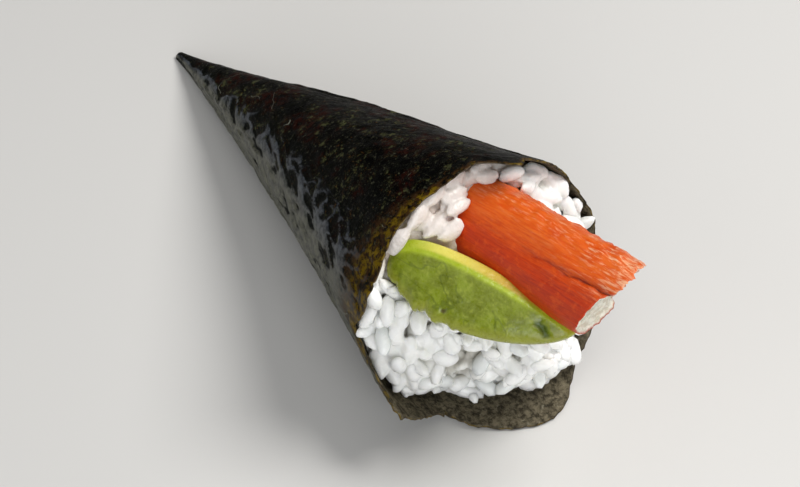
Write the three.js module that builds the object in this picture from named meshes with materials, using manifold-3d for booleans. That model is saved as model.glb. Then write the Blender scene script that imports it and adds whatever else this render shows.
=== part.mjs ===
// Temaki hand roll: a sheet of nori wrapped into a cone round rice, a crab stick and a slice of avocado.
// Millimetres, +Z up. The roll lies on its lowest line with the tip at -X and the open mouth at +X.
import * as THREE from 'three';
import { mergeVertices } from 'three/addons/utils/BufferGeometryUtils.js';
import { ParametricGeometry } from 'three/addons/geometries/ParametricGeometry.js';
import Module from 'manifold-3d';

const wasm = await Module();
wasm.setup();

// ---- driving dimensions -------------------------------------------------------------------------
const DEGREE = Math.PI / 180;
const GAP = 0.3;                    // clear space kept between touching pieces
const FLOOR = 0;                    // the roll rests on this height
const SAME_POINT = 1e-4;            // corners of a surface closer than this are one corner

const HALF_ANGLE = 13.4 * DEGREE;   // of the cone
const AXIS_RISE = 12.75 * DEGREE;   // of its axis: less than the half angle, which leaves a flat strip below
const TIP_RADIUS = 1.0;             // the rolled sheet is blunt at its tip
const TIP_LENGTH = 10;              // and this far behind it close to the plain cone
const SHEET = 0.45;                 // one layer of nori
const OUTER_EDGE = 42 * DEGREE;     // turn where the sheet ends outside, along the far upper side
const INNER_EDGE = - 119 * DEGREE;  // and where it begins inside: between the two it lies double
const EDGE_SLOPE = 0.4 * DEGREE;    // half the turn over which an edge steps down
const RIM_ALONG = 124;              // usual distance from the tip to the rim, along the axis
const HOLLOW_START = 30;            // up to here the tip is rolled nori, and behind it is the rice
const RICE_START = HOLLOW_START + 4;

// Where the rim of the sheet departs from RIM_ALONG: turn and width in degrees, rise in mm.
// The lip below the mouth is a corner of the square sheet that reaches past the rice.
const RIM_BUMPS = [
	{ turn: - 84, width: 17, rise: 12.5 },
	{ turn: - 44, width: 12, rise: 4.5 },
	{ turn: - 108, width: 8, rise: 1.6 },
	{ turn: - 122, width: 4, rise: - 1.6 },
	{ turn: - 138, width: 8, rise: 1.8 },
	{ turn: - 158, width: 9, rise: 7.0 },
	{ turn: 178, width: 9, rise: - 7.5 },
	{ turn: 120, width: 12, rise: - 2.0 },
	{ turn: 72, width: 4.5, rise: 6.0 },
	{ turn: 56, width: 8, rise: 2.5 }
];

// The roll isn't a true cone: it is fuller above, from half way along to the rim, and slimmer along
// its near side. At is the share of the length where a bump is at its highest.
const BELLY = [
	{ turn: 55, width: 34, rise: 0.6, at: 0.5 },
	{ turn: - 170, width: 26, rise: - 1.7, at: 0.5 },
	{ turn: 78, width: 30, rise: 1.6, at: 1 }
];
// Soft wrinkles of the sheet that run along it, a little askew.
const WRINKLES = [
	{ lobes: 5, pitch: 17, height: 0.35 },
	{ lobes: 9, pitch: - 11, height: 0.25 }
];

// The edge where the rice meets the wrap, in the same form.
const RICE_ALONG = 121;
const RICE_BUMPS = [
	{ turn: - 66, width: 25, rise: 9.0 },
	{ turn: 178, width: 18, rise: - 4.5 }
];
const MOUND = { height: 17, across: 2, up: - 3, width: 15 };    // the rice swells out of the mouth
const CORE_DEPTH = 1.3;             // the core stays this far under the face of the rice
const CORE_INSET = GAP + 0.1;       // and this far inside the wrap
const GRAIN = {
	length: 7.0,
	width: 3.3,
	thick: 2.9,
	sides: 5,
	// Half outline from end to end, in shares of its half width and half length.
	outline: [[ 0, - 1 ], [ 0.7, - 0.78 ], [ 1, - 0.05 ], [ 0.74, 0.74 ], [ 0, 1 ]],
	smallest: 0.88,                 // sizes, as shares of the dimensions above
	largest: 1.08,
	sunk: 0.45,                     // share of its thickness that its middle lies under the face
	tipped: 0.45,                   // most that it is tipped out of the face, in radians
	count: 125,                     // set out over the face, before those on the fillings drop out
	outOfStep: 0.12,                // most that one is moved round the face, in radians
	mostInFilling: 0.2,             // a grain with more of itself than this in a filling is left out
	seed: 20
};

const STICK = {
	mouth: new THREE.Vector3( 114.4, 3.2, 41.9 ),   // its centre line at the face of the rice
	azimuth: 9.8 * DEGREE,
	rise: 6 * DEGREE,
	lean: 35 * DEGREE,              // turn of its broad face about its length, towards -Y
	outside: 37,
	deepAlong: 90,                  // its inner end, inside the rice, along the cone's axis and above it
	deepUp: 9.5,
	deepSize: 0.88,                 // and how far the wrap squeezes it there
	width: 18.6,
	thick: 14.6,
	squareness: 2.7,                // 2 is an oval section, more is squarer
	crease: { depth: 1.5, width: 0.2, from: 0.62, to: 0.48 },   // lengthwise, over the broad face
	squeezed: 0.6,                  // share of its length over which that fades out
	cutAcross: 0.25,                // slopes of the cut end
	cutThrough: 0.4
};

const AVOCADO = {
	tip: new THREE.Vector3( 114.6, - 19.4, 46.2 ),  // the end of the slice beside the rim
	azimuth: 31 * DEGREE,
	rise: - 6 * DEGREE,
	lean: 37.6 * DEGREE,
	length: 41.2,
	thick: 8.5,
	squareness: 3.4,
	endBluntness: 0.4,              // 0 keeps it thick up to its ends, 1 makes them sharp
	arcBluntness: 0.7,
	pitSide: { height: 5.6, skew: 0.5 },            // the two arcs of its outline, above and below
	skinSide: { height: 9.3, skew: 0.85 }           // the line from tip to tip
};

// ---- helpers ------------------------------------------------------------------------------------
const axis = new THREE.Vector3( Math.cos( AXIS_RISE ), 0, Math.sin( AXIS_RISE ) );
const across = new THREE.Vector3( 0, 1, 0 );
const upward = new THREE.Vector3( - Math.sin( AXIS_RISE ), 0, Math.cos( AXIS_RISE ) );

function inCone( along, sideways, up, target ) {

	return target.copy( axis ).multiplyScalar( along )
		.addScaledVector( across, sideways )
		.addScaledVector( upward, up );

}

function bumps( list, turn ) {

	let sum = 0;
	for ( const bump of list ) {

		const away = THREE.MathUtils.euclideanModulo( turn / DEGREE - bump.turn + 180, 360 ) - 180;
		sum += bump.rise * Math.exp( - ( ( away / bump.width ) ** 2 ) / 2 );

	}

	return sum;

}

// Mulberry32, a small seeded generator, so that the same grains come out each time.
function seededRandom( seed ) {

	let state = seed;
	return () => {

		state = ( state + 0x6D2B79F5 ) | 0;
		let mixed = Math.imul( state ^ ( state >>> 15 ), 1 | state );
		mixed = ( mixed + Math.imul( mixed ^ ( mixed >>> 7 ), 61 | mixed ) ) ^ mixed;
		return ( ( mixed ^ ( mixed >>> 14 ) ) >>> 0 ) / 4294967296;

	};

}

// A closed geometry as a manifold solid: shared corners merged, triangles without area dropped.
function toSolid( geometry ) {

	const bare = geometry.clone();
	bare.deleteAttribute( 'normal' );
	bare.deleteAttribute( 'uv' );
	const merged = mergeVertices( bare, SAME_POINT );
	const corners = merged.index.array;
	const kept = [];
	for ( let i = 0; i < corners.length; i += 3 ) {

		const [ a, b, c ] = [ corners[ i ], corners[ i + 1 ], corners[ i + 2 ] ];
		if ( a !== b && b !== c && c !== a ) kept.push( a, b, c );

	}

	const vertProperties = new Float32Array( merged.attributes.position.array );
	return new wasm.Manifold( new wasm.Mesh( { numProp: 3, vertProperties, triVerts: new Uint32Array( kept ) } ) );

}

function toGeometry( solid ) {

	const mesh = solid.getMesh();
	const geometry = new THREE.BufferGeometry();
	geometry.setAttribute( 'position', new THREE.BufferAttribute( new Float32Array( mesh.vertProperties ), 3 ) );
	geometry.setIndex( new THREE.BufferAttribute( new Uint32Array( mesh.triVerts ), 1 ) );
	geometry.computeVertexNormals();
	return geometry;

}

// Directions of a piece that lies along an azimuth and a rise, its broad face leaned towards -Y.
function directions( { azimuth, rise, lean } ) {

	const length = new THREE.Vector3(
		Math.cos( azimuth ) * Math.cos( rise ),
		Math.sin( azimuth ) * Math.cos( rise ),
		Math.sin( rise )
	);
	const side = new THREE.Vector3( - Math.sin( azimuth ), Math.cos( azimuth ), 0 );
	const top = new THREE.Vector3().crossVectors( length, side );
	const face = top.clone().multiplyScalar( Math.cos( lean ) ).addScaledVector( side, - Math.sin( lean ) );
	const width = new THREE.Vector3().crossVectors( face, length );
	return { length, width, face };

}

// Distance from the middle of a rounded section to its edge.
function sectionReach( turn, halfWidth, halfThick, squareness ) {

	const widthPart = Math.abs( Math.cos( turn ) / halfWidth ) ** squareness;
	const thickPart = Math.abs( Math.sin( turn ) / halfThick ) ** squareness;
	return ( widthPart + thickPart ) ** ( - 1 / squareness );

}

// ---- nori ---------------------------------------------------------------------------------------
// How far round a place is from the sheet's outer edge, as a share of a full turn.
function unrolled( turn ) {

	return THREE.MathUtils.euclideanModulo( OUTER_EDGE - turn, 2 * Math.PI ) / ( 2 * Math.PI );

}

const wallThickness = ( turn ) => ( unrolled( turn ) < unrolled( INNER_EDGE ) ? 2 * SHEET : SHEET );

// Distance from the axis to the outside of the wrap: a cone with soft wrinkles, one layer smaller
// just past the outer edge and growing back to full size round the turn.
function wrapReach( along, turn ) {

	const size = along / RIM_ALONG;
	let reach = along * Math.tan( HALF_ANGLE ) + TIP_RADIUS * Math.exp( - along / TIP_LENGTH );
	reach -= SHEET * unrolled( turn ) * size;
	for ( const belly of BELLY ) {

		reach += bumps( [ belly ], turn ) * Math.sin( Math.PI / 2 * Math.min( 1, size ) / belly.at );

	}

	for ( const { lobes, pitch, height } of WRINKLES ) {

		reach += height * size * Math.sin( lobes * turn + along / pitch );

	}

	return reach;

}

const rimAlong = ( turn ) => RIM_ALONG + bumps( RIM_BUMPS, turn );

function wrapPoint( along, turn, inset, target ) {

	const reach = Math.max( wrapReach( along, turn ) - inset, 0 );
	inCone( along, reach * Math.cos( turn ), reach * Math.sin( turn ), target );
	target.z = Math.max( target.z, FLOOR + inset );
	return target;

}

// Turn of a column of the wrap's mesh: even, but for the pair on the two sides of each edge.
function columnTurn( u, columns ) {

	const even = u * 2 * Math.PI;
	for ( const edge of [ OUTER_EDGE, INNER_EDGE ] ) {

		const away = THREE.MathUtils.euclideanModulo( even - edge + Math.PI, 2 * Math.PI ) - Math.PI;
		if ( Math.abs( away ) < 2 * Math.PI / columns ) return edge + Math.sign( away ) * EDGE_SLOPE;

	}

	return even;

}

// The whole wrap as one surface: out along the outside, over the rim and back along the inside.
function wrapSolid( { grow = 0, columns = 64, outerRows = 14, innerRows = 12 } ) {

	const rows = outerRows + 1 + innerRows;
	const surface = ( u, v, target ) => {

		const turn = columnTurn( u, columns );
		const spread = grow > 0 ? 2 * EDGE_SLOPE : 0;
		const wall = Math.max( wallThickness( turn ), wallThickness( turn + spread ) );
		const row = Math.round( v * rows );
		const rim = rimAlong( turn ) + grow;
		if ( row <= outerRows ) {

			wrapPoint( rim * row / outerRows, turn, - grow, target );
			if ( row === 0 ) target.set( 0, 0, TIP_RADIUS / 2 );

		} else {

			const back = ( row - outerRows - 1 ) / innerRows;
			const along = THREE.MathUtils.lerp( rim, HOLLOW_START, back );
			wrapPoint( along, turn, wall + grow, target );
			if ( row === rows ) inCone( HOLLOW_START - 2, 0, 0, target );

		}

	};

	return toSolid( new ParametricGeometry( surface, columns, rows ) );

}

// ---- crab stick ---------------------------------------------------------------------------------
function stickSolid( { grow = 0, around = 28, rows = 12 } ) {

	const { length, width, face } = directions( STICK );
	const outer = STICK.mouth.clone().addScaledVector( length, STICK.outside );
	const half = STICK.mouth.clone().addScaledVector( length, STICK.outside / 2 );
	const inner = inCone( STICK.deepAlong, 0, STICK.deepUp, new THREE.Vector3() );
	const path = new THREE.CatmullRomCurve3( [ inner, STICK.mouth, half, outer ] );
	const surface = ( u, v, target ) => {

		const turn = u * 2 * Math.PI;
		const row = Math.round( v * rows );
		const share = THREE.MathUtils.clamp( ( row - 1 ) / ( rows - 2 ), 0, 1 );
		path.getPoint( share, target );
		if ( row === 0 || row === rows ) {

			target.addScaledVector( length, grow * ( 2 * share - 1 ) );
			return;

		}

		const size = THREE.MathUtils.lerp( STICK.deepSize, 1, Math.min( 1, share / STICK.squeezed ) );
		const creaseTurn = Math.PI * THREE.MathUtils.lerp( STICK.crease.from, STICK.crease.to, share );
		const crease = STICK.crease.depth * Math.exp( - ( ( ( turn - creaseTurn ) / STICK.crease.width ) ** 2 ) );
		const halfWidth = ( STICK.width / 2 ) * size + grow;
		const halfThick = ( STICK.thick / 2 ) * size + grow;
		const reach = sectionReach( turn, halfWidth, halfThick, STICK.squareness ) - crease;
		const sideways = reach * Math.cos( turn );
		const out = reach * Math.sin( turn );
		const cut = share * ( STICK.cutAcross * sideways + STICK.cutThrough * out ) + grow * ( 2 * share - 1 );
		target.addScaledVector( width, sideways ).addScaledVector( face, out ).addScaledVector( length, cut );

	};

	return toSolid( new ParametricGeometry( surface, around, rows ) );

}

// ---- avocado ------------------------------------------------------------------------------------
// Height of one arc of the outline, full early along the slice and falling to nothing at both tips.
function arc( { height, skew }, share ) {

	return height * Math.abs( Math.sin( Math.PI * share ** skew ) ) ** AVOCADO.arcBluntness;

}

function avocadoSolid( { grow = 0, headroom = 0, around = 20, rows = 14 } ) {

	const { length, width, face } = directions( AVOCADO );
	const surface = ( u, v, target ) => {

		const turn = u * 2 * Math.PI;
		const row = Math.round( v * rows );
		const share = ( 1 - Math.cos( row / rows * Math.PI ) ) / 2;
		const pit = arc( AVOCADO.pitSide, share );
		const skin = arc( AVOCADO.skinSide, share );
		let sideways = ( pit - skin ) / 2;
		let out = - AVOCADO.thick / 2;
		if ( row > 0 && row < rows ) {

			const halfHeight = ( pit + skin ) / 2 + grow;
			const blunt = Math.sin( Math.PI * share ) ** AVOCADO.endBluntness;
			const halfThick = ( AVOCADO.thick / 2 ) * blunt + grow;
			const reach = sectionReach( turn, halfHeight, halfThick, AVOCADO.squareness );
			sideways += reach * Math.cos( turn );
			out += reach * Math.sin( turn ) + headroom * Math.max( 0, Math.sin( turn ) );

		}

		const along = share * AVOCADO.length + grow * ( 2 * share - 1 );
		target.copy( AVOCADO.tip ).addScaledVector( length, along );
		target.addScaledVector( width, sideways ).addScaledVector( face, out );

	};

	return toSolid( new ParametricGeometry( surface, around, rows ) );

}

// ---- rice ---------------------------------------------------------------------------------------
// Face of the rice as a distance along the axis, over the mouth: the edge along the wrap, and a mound.
function riceFace( sideways, up ) {

	const turn = Math.atan2( up, sideways );
	const share = Math.min( 1, Math.hypot( sideways, up ) / ( RICE_ALONG * Math.tan( HALF_ANGLE ) ) );
	const edge = bumps( RICE_BUMPS, turn ) * share ** 2;
	const away = ( sideways - MOUND.across ) ** 2 + ( up - MOUND.up ) ** 2;
	const mound = MOUND.height * Math.exp( - away / ( 2 * MOUND.width ** 2 ) ) * ( 1 - share ** 4 );
	return RICE_ALONG + edge + mound;

}

// The mass of the rice under the grains that show, down to a point near the rolled tip.
function riceCore( { columns = 30, faceRows = 5, sideRows = 5 } ) {

	const rows = faceRows + sideRows;
	const faceReach = RICE_ALONG * Math.tan( HALF_ANGLE ) - 2 * SHEET;
	const surface = ( u, v, target ) => {

		const turn = - u * 2 * Math.PI;
		const inset = wallThickness( turn ) + CORE_INSET;
		const row = Math.round( v * rows );
		const reach = faceReach * Math.min( 1, row / faceRows );
		const sideways = reach * Math.cos( turn );
		const up = reach * Math.sin( turn );
		const along = riceFace( sideways, up ) - CORE_DEPTH;
		const back = ( row - faceRows ) / sideRows;
		if ( row < faceRows ) inCone( along, sideways, up, target );
		else if ( row < rows ) wrapPoint( THREE.MathUtils.lerp( along, RICE_START, back ), turn, inset, target );
		else inCone( RICE_START, 0, 0, target );

	};

	return toSolid( new ParametricGeometry( surface, columns, rows ) );

}

const grainGeometry = new THREE.LatheGeometry(
	GRAIN.outline.map( ( [ out, along ] ) => new THREE.Vector2( out, along ) ),
	GRAIN.sides
).rotateZ( - Math.PI / 2 );

// One grain lying on the face of the rice at a place over the mouth, turned and tipped at random.
function grainSolid( sideways, up, random ) {

	const onFace = ( right, over, depth = 0 ) => {

		return inCone( riceFace( right, over ) - depth, right, over, new THREE.Vector3() );

	};

	const step = 0.5;
	const here = onFace( sideways, up );
	const right = onFace( sideways + step, up ).sub( here );
	const over = onFace( sideways, up + step ).sub( here );
	const normal = right.cross( over ).normalize();
	const lay = new THREE.Quaternion().setFromUnitVectors( new THREE.Vector3( 0, 0, 1 ), normal );
	const tip = GRAIN.tipped * ( 2 * random() - 1 );
	lay.multiply( new THREE.Quaternion().setFromEuler( new THREE.Euler( 0, tip, random() * Math.PI, 'ZYX' ) ) );
	const size = THREE.MathUtils.lerp( GRAIN.smallest, GRAIN.largest, random() );
	const halves = new THREE.Vector3( GRAIN.length, GRAIN.width, GRAIN.thick ).multiplyScalar( size / 2 );
	const place = onFace( sideways, up, GRAIN.thick * GRAIN.sunk );
	return toSolid( grainGeometry.clone().applyMatrix4( new THREE.Matrix4().compose( place, lay, halves ) ) );

}

// Grains spread evenly over the mouth by the golden angle, a little out of step.
function grainSolids( fillings ) {

	const random = seededRandom( GRAIN.seed );
	const goldenAngle = Math.PI * ( 3 - Math.sqrt( 5 ) );
	const mouth = RICE_ALONG * Math.tan( HALF_ANGLE ) - GRAIN.width / 2;
	const grains = [];
	for ( let i = 0; i < GRAIN.count; i ++ ) {

		const reach = mouth * Math.sqrt( ( i + 0.5 ) / GRAIN.count );
		const turn = i * goldenAngle + GRAIN.outOfStep * ( 2 * random() - 1 );
		const grain = grainSolid( reach * Math.cos( turn ), reach * Math.sin( turn ), random );
		const inFilling = grain.intersect( fillings ).volume() / grain.volume();
		if ( inFilling < GRAIN.mostInFilling ) grains.push( grain );

	}

	return grains;

}

// The largest connected piece: loose scraps are dropped and sealed hollows filled.
function mainPiece( solid ) {

	return solid.decompose().reduce( ( best, piece ) => ( piece.volume() > best.volume() ? piece : best ) );

}

// ---- the roll -----------------------------------------------------------------------------------
const wrap = wrapSolid( {} );
const stick = stickSolid( {} );
const wrapSpace = wrapSolid( { grow: GAP } );
const stickSpace = stickSolid( { grow: GAP } );
const avocadoSpace = avocadoSolid( { grow: GAP, headroom: GRAIN.length * 2 } );   // its face stays bare
const avocado = avocadoSolid( {} ).subtract( stickSpace );
const fillingSpace = stickSpace.add( avocadoSpace );
let rice = riceCore( {} );
for ( const grain of grainSolids( fillingSpace ) ) rice = rice.add( grain );
rice = mainPiece( rice.subtract( fillingSpace ).subtract( wrapSpace ) );

function piece( name, solid, color, roughness ) {

	const mesh = new THREE.Mesh(
		toGeometry( solid ),
		new THREE.MeshStandardMaterial( { color, roughness, metalness: 0 } )
	);
	mesh.name = name;
	return mesh;

}

const roll = new THREE.Group();
roll.add(
	piece( 'nori', wrap, 0x1d211b, 0.55 ),
	piece( 'rice', rice, 0xecebe6, 0.45 ),
	piece( 'crab_stick', stick, 0xd9542b, 0.4 ),
	piece( 'avocado', avocado, 0x8fa53c, 0.35 )
);

// The origin is at the middle of the roll's box, on the surface that it rests on.
const box = new THREE.Box3().setFromObject( roll );
const middle = box.getCenter( new THREE.Vector3() );
roll.position.set( - middle.x, - middle.y, - box.min.z );

export default roll;
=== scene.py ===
import random
from math import atan2, cos, degrees, exp, hypot, pi, sin, sqrt, tan

import bmesh
import bpy
from bpy.props import FloatProperty, FloatVectorProperty, IntProperty, PointerProperty
from mathutils import Euler, Matrix, Quaternion, Vector, noise
from mathutils.bvhtree import BVHTree


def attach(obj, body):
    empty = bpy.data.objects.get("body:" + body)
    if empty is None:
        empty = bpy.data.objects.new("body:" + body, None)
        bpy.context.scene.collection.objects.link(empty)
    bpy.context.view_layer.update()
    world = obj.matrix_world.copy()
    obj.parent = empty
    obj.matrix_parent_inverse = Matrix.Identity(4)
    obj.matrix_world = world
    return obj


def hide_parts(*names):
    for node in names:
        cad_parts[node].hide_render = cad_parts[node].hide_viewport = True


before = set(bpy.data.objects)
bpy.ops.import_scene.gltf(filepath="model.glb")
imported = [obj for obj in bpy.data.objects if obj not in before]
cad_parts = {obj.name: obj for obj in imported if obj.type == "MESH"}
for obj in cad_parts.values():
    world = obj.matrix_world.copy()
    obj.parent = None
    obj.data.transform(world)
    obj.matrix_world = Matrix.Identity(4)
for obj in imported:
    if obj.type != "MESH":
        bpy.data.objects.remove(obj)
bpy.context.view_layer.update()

bl_info = {
    "name": "Temaki Hand Roll",
    "version": (1, 0, 0),
    "blender": (4, 5, 0),
    "location": "3D View > Sidebar > Hand Roll",
    "description": "Makes a nori cone with rice, a crab stick and an avocado slice round the part's solids",
    "category": "Object",
}

MM = 0.001
DEGREE = pi / 180
FULL_TURN = 2 * pi
WELD = 0.0001 * MM  # corners closer than this are one corner

# ---- the roll's driving dimensions, as in its solids ----
HALF_ANGLE = 13.4 * DEGREE  # of the cone
SPREAD = tan(HALF_ANGLE)
AXIS_RISE = 12.75 * DEGREE
TIP_RADIUS = 1.0 * MM
TIP_LENGTH = 10 * MM
SHEET = 0.45 * MM  # one layer of nori
OUTER_EDGE = 42 * DEGREE  # turn where the sheet ends outside
INNER_EDGE = -119 * DEGREE  # and where it begins inside
WOUND = 1 + (OUTER_EDGE - INNER_EDGE) / FULL_TURN  # turns that the sheet makes
RIM_ALONG = 124 * MM

# Turn and width in degrees, then the rise in millimetres.
RIM_BUMPS = (
    (-84, 17, 12.5),
    (-44, 12, 4.5),
    (-108, 8, 1.6),
    (-122, 4, -1.6),
    (-138, 8, 1.8),
    (-158, 9, 7.0),
    (178, 9, -7.5),
    (120, 12, -2.0),
    (72, 4.5, 6.0),
    (56, 8, 2.5),
)
# The same, and the share of the length where the sheet swells most.
BELLY = (
    (55, 34, 0.6, 0.5),
    (-170, 26, -1.7, 0.5),
    (78, 30, 1.6, 1),
)
# Lobes round the cone, pitch along it and height.
WRINKLES = (
    (5, 17 * MM, 0.35 * MM),
    (9, -11 * MM, 0.25 * MM),
)

RICE_ALONG = 121 * MM
MOUTH_RADIUS = RICE_ALONG * SPREAD
RICE_BUMPS = ((-62, 20, 7.5), (-118, 18, -3.0), (178, 18, -4.5))
MOUND_HEIGHT = 17 * MM
MOUND_ACROSS = 2 * MM
MOUND_UP = -3 * MM
MOUND_WIDTH = 15 * MM

STICK_MOUTH = Vector((114.4, 3.2, 41.9)) * MM  # from the tip, as are all such places
STICK_AZIMUTH = 9.8 * DEGREE
STICK_RISE = 6 * DEGREE
STICK_LEAN = 35 * DEGREE
STICK_OUTSIDE = 37 * MM
STICK_DEEP = (90 * MM, 9.5 * MM)  # its inner end, along and above the cone's axis
STICK_WIDTH = 18.6 * MM
STICK_THICK = 14.6 * MM
STICK_SQUARENESS = 2.7

AVOCADO_TIP = Vector((114.6, -19.4, 46.2)) * MM
AVOCADO_AZIMUTH = 31 * DEGREE
AVOCADO_RISE = -6 * DEGREE
AVOCADO_LEAN = 37.6 * DEGREE
AVOCADO_LENGTH = 41.2 * MM
AVOCADO_THICK = 8.5 * MM
AVOCADO_SQUARENESS = 3.4
PIT_SIDE = (5.6 * MM, 0.5, 0.7)  # height, skew and power of the outline's two arcs
SKIN_SIDE = (9.3 * MM, 0.85, 0.5)

# ---- the cone's own directions ----
tip_corner = min((corner.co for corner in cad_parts["nori"].data.vertices), key=lambda co: co.x)
TIP = Vector((tip_corner.x, tip_corner.y, 0))
AXIS = Vector((cos(AXIS_RISE), 0, sin(AXIS_RISE)))
ACROSS = Vector((0, 1, 0))
UPWARD = Vector((-sin(AXIS_RISE), 0, cos(AXIS_RISE)))


def in_cone(along, sideways, up):
    """A place in the roll from its distances along, across and above the cone's axis."""
    return TIP + AXIS * along + ACROSS * sideways + UPWARD * up


def on_circle(reach, turn):
    return reach * cos(turn), reach * sin(turn)


def at_turn(along, reach, turn):
    """The same, from how far the place is from the axis, at a turn round it."""
    return in_cone(along, *on_circle(reach, turn))


def from_cone(spot):
    """A place's distances along, across and above the cone's axis."""
    relative = spot - TIP
    return relative.dot(AXIS), relative.dot(ACROSS), relative.dot(UPWARD)


def swell(turn, centre, width):
    """1 at its centre on the way round the cone, and less on both sides of it."""
    away = (degrees(turn) - centre + 180) % 360 - 180
    return exp(-((away / width) ** 2) / 2)


def bumps(swells, turn):
    """Sum of the swells at a turn."""
    return sum(rise * MM * swell(turn, centre, width) for centre, width, rise in swells)


def directions(azimuth, rise, lean):
    """Length, width and face directions of a filling, its broad face leaned towards -Y."""
    length = Vector((cos(azimuth) * cos(rise), sin(azimuth) * cos(rise), sin(rise)))
    side = Vector((-sin(azimuth), cos(azimuth), 0))
    face = length.cross(side) * cos(lean) - side * sin(lean)
    return length, face.cross(length), face


STICK_DIRECTIONS = directions(STICK_AZIMUTH, STICK_RISE, STICK_LEAN)
AVOCADO_DIRECTIONS = directions(AVOCADO_AZIMUTH, AVOCADO_RISE, AVOCADO_LEAN)


def section_reach(turn, half_width, half_thick, squareness):
    """Distance from the middle of a rounded section to its edge."""
    width_part = abs(cos(turn) / half_width) ** squareness
    thick_part = abs(sin(turn) / half_thick) ** squareness
    return (width_part + thick_part) ** (-1 / squareness)


def smooth_step(low, high, value):
    """0 below low, 1 above high, and a soft S between them."""
    share = min(1, max(0, (value - low) / (high - low)))
    return share * share * (3 - 2 * share)


def lerp(low, high, share):
    return low + (high - low) * share


def wavy(place, size, octaves=3):
    """Soft noise of about -1 to 1, with lumps of that size."""
    return noise.fractal(place / size, 1.0, 2.0, octaves)


# ---- materials ----
class Signal:
    """One output of a material's node, on which sums are written as on a number."""

    def __init__(self, finish, socket):
        self.finish = finish
        self.socket = socket

    def __add__(self, other):
        return self.finish.sum("ADD", self, other)

    def __sub__(self, other):
        return self.finish.sum("SUBTRACT", self, other)

    def __mul__(self, other):
        return self.finish.sum("MULTIPLY", self, other)

    def __rsub__(self, other):
        return self.finish.sum("SUBTRACT", other, self)

    def between(self, low, high, to_low=0.0, to_high=1.0):
        """The range from low to high, softly, as another range."""
        limits = {0: self, 1: low, 2: high, 3: to_low, 4: to_high}
        return self.finish.node("MapRange", {"interpolation_type": "SMOOTHSTEP"}, limits)

    __radd__ = __add__
    __rmul__ = __mul__


class Finish:
    """A material, its shader and the nodes that lead to it."""

    def __init__(self, name):
        self.material = bpy.data.materials.new(name)
        self.material.use_nodes = True
        self.tree = self.material.node_tree
        self.shader = self.tree.nodes["Principled BSDF"]
        self.place = self.node("TexCoord", output="Object")
        self.colour = None

    def feed(self, socket, value):
        if isinstance(value, Signal):
            self.tree.links.new(value.socket, socket)
        elif socket.type == "RGBA":
            socket.default_value = (*value, 1)
        else:
            socket.default_value = value

    def node(self, kind, settings=None, sockets=None, output=0):
        made = self.tree.nodes.new("ShaderNode" + kind)
        for name, value in (settings or {}).items():
            setattr(made, name, value)
        for name, value in (sockets or {}).items():
            self.feed(made.inputs[name], value)
        return Signal(self, made.outputs[output])

    def set(self, name, value):
        self.feed(self.shader.inputs[name], value)

    def sum(self, operation, first, second):
        return self.node("Math", {"operation": operation}, {0: first, 1: second})

    def mix(self, share, first, second):
        settings = {"data_type": "RGBA", "clamp_factor": True}
        return self.node("Mix", settings, {0: share, 6: first, 7: second}, output=2)

    def cover(self, share, *shade):
        """Lay a colour, given as on a screen, over the base colour by that share."""
        self.colour = self.mix(share, self.colour, screen(*shade))

    def marks(self, *names):
        """The values that the piece's corners hold under these names."""
        return [self.node("Attribute", {"attribute_name": name}, output="Fac") for name in names]

    def flat(self, name):
        return self.node("UVMap", {"uv_map": name})

    def stretched(self, place, scale):
        return self.node("Mapping", {}, {"Vector": place, "Scale": scale})

    def lumps(self, size, place=None, detail=3.0, roughness=0.5, distortion=0.0):
        """Noise from 0 to 1 with lumps of that size."""
        sockets = {
            "Vector": place or self.place,
            "Scale": 1 / size,
            "Detail": detail,
            "Roughness": roughness,
            "Distortion": distortion,
        }
        return self.node("TexNoise", {}, sockets)

    def relief(self, height, depth, strength):
        sockets = {"Height": height, "Distance": depth, "Strength": strength}
        self.set("Normal", self.node("Bump", {}, sockets))

    def flesh(self, weight, radius, scale):
        """How far light goes into the surface."""
        self.set("Subsurface Weight", weight)
        self.set("Subsurface Radius", radius)
        self.set("Subsurface Scale", scale)


def screen(red, green, blue):
    """A colour given as it looks on a screen, from 0 to 255, as a linear one."""
    return tuple(((value / 255 + 0.055) / 1.055) ** 2.4 if value > 10 else value / 255 / 12.92
                 for value in (red, green, blue))


# ---- pieces ----
def grid_form(columns, rows, place, layers=()):
    """A grid whose corners go where place(column, row) puts them, with the layers' values."""
    form = bmesh.new()
    bmesh.ops.create_grid(form, x_segments=columns, y_segments=rows, size=0.5)
    flat = form.loops.layers.uv.new("flat")
    marks = [form.verts.layers.float.new(name) for name in layers]
    for face in form.faces:
        for loop in face.loops:
            loop[flat].uv = (loop.vert.co.x + 0.5, loop.vert.co.y + 0.5)
    for corner in form.verts:
        column = round((corner.co.x + 0.5) * columns)
        row = round((corner.co.y + 0.5) * rows)
        corner.co, values = place(column, row)
        for mark, value in zip(marks, values):
            corner[mark] = value
    bmesh.ops.remove_doubles(form, verts=form.verts, dist=WELD)
    bmesh.ops.recalc_face_normals(form, faces=form.faces)
    if form.calc_volume(signed=True) < 0:
        bmesh.ops.reverse_faces(form, faces=form.faces)
    return form


def make_mesh(name, form):
    mesh = bpy.data.meshes.new(name)
    form.to_mesh(mesh)
    form.free()
    return mesh


def add_object(name, data, placed=None):
    made = bpy.data.objects.new(name, data)
    if placed is not None:
        made.matrix_world = placed
    bpy.context.scene.collection.objects.link(made)
    return made


def add_piece(name, form, finish, node):
    """The form as an object that stands for its node, and rides with the roll."""
    mesh = make_mesh(name, form)
    mesh.shade_smooth()
    mesh.materials.append(finish.material)
    piece = add_object(name, mesh)
    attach(piece, "root")
    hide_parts(node)
    return piece


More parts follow.
